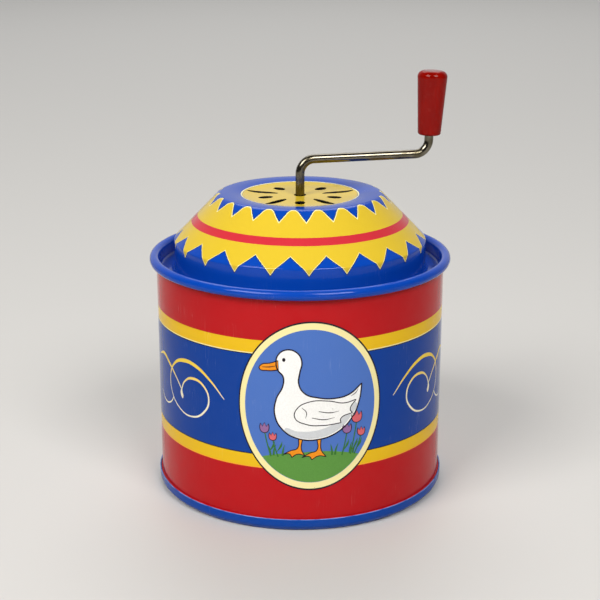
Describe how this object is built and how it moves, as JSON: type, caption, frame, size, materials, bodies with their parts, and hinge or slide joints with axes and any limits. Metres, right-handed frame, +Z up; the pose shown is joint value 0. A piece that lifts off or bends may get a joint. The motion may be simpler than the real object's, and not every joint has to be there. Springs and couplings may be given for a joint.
{
  "type": "hand crank music box",
  "caption": "Cylindrical printed tin music box with a domed, slotted lid and a bent wire crank with a red knob that turns a pinned drum against a steel comb.",
  "frame": {"origin": "centre of the resting ring under the base, on the crank's axis", "axes": "+Z up along the crank's axis; -Y is the front, where the oval picture is; the drum lies along X behind the crank's axis"},
  "size_m": [0.0838, 0.0838, 0.1154],
  "materials": {
    "printed_wall": "gloss lacquer over printed tinplate, blue with red and yellow bands",
    "printed_lid": "gloss lacquer over printed tinplate, yellow with blue points and a red band",
    "blue_lacquer": "gloss blue lacquer on tinplate",
    "nickel_wire": "nickel plate, slightly tarnished",
    "spring_steel": "bright drawn steel",
    "red_knob": "moulded deep red plastic, polished",
    "turned_brass": "turned brass",
    "turned_steel": "turned steel",
    "screw_steel": "nickel-plated screws",
    "zinc_casting": "die-cast zinc, grey and slightly matt",
    "comb_steel": "ground hardened steel",
    "lead": "dull cast lead",
    "red_fibre": "vulcanised fibre"
  },
  "bodies": {
    "can": {"body_shell": "printed_wall", "top_cover": "printed_lid", "base_plate": "blue_lacquer", "movement_bedplate": "zinc_casting", "ear_bushes": "turned_brass", "thrust_washer": "turned_brass", "worm_bridge": "spring_steel", "bridge_bush": "turned_brass", "bridge_screws": "screw_steel", "comb": "comb_steel", "comb_screws": "screw_steel", "comb_weights": "lead", "mounting_screws": "screw_steel", "mounting_washers": "red_fibre"},
    "crank": {"crank_rod": "nickel_wire", "knob_clip": "spring_steel", "coupling_sleeve": "turned_brass", "coupling_set_screws": "screw_steel", "worm_shaft": "turned_steel"},
    "knob": {"crank_knob": "red_knob"},
    "drum": {"worm_wheel": "turned_brass", "pin_drum": "turned_brass", "drum_end_cap_left": "turned_brass", "drum_end_cap_right": "turned_brass", "drum_pins": "spring_steel", "drum_arbor": "turned_steel", "arbor_clips": "spring_steel"}
  },
  "joints": [
    {"name": "crank_turn", "type": "hinge", "parent": "can", "child": "crank", "pos_m": [0, 0, 0], "axis": [0, 0, 1], "continuous": true},
    {"name": "knob_spin", "type": "hinge", "parent": "crank", "child": "knob", "pos_m": [0.0359, 0.00895, 0.0922], "axis": [0.0322, 0.008, 0.9995], "continuous": true},
    {"name": "cylinder_turn", "type": "hinge", "parent": "can", "child": "drum", "pos_m": [0, 0.0096, 0.015], "axis": [1, 0, 0], "continuous": true}
  ],
  "couplings": [
    {"joint": "cylinder_turn", "follows": "crank_turn", "ratio": 0.045455}
  ]
}
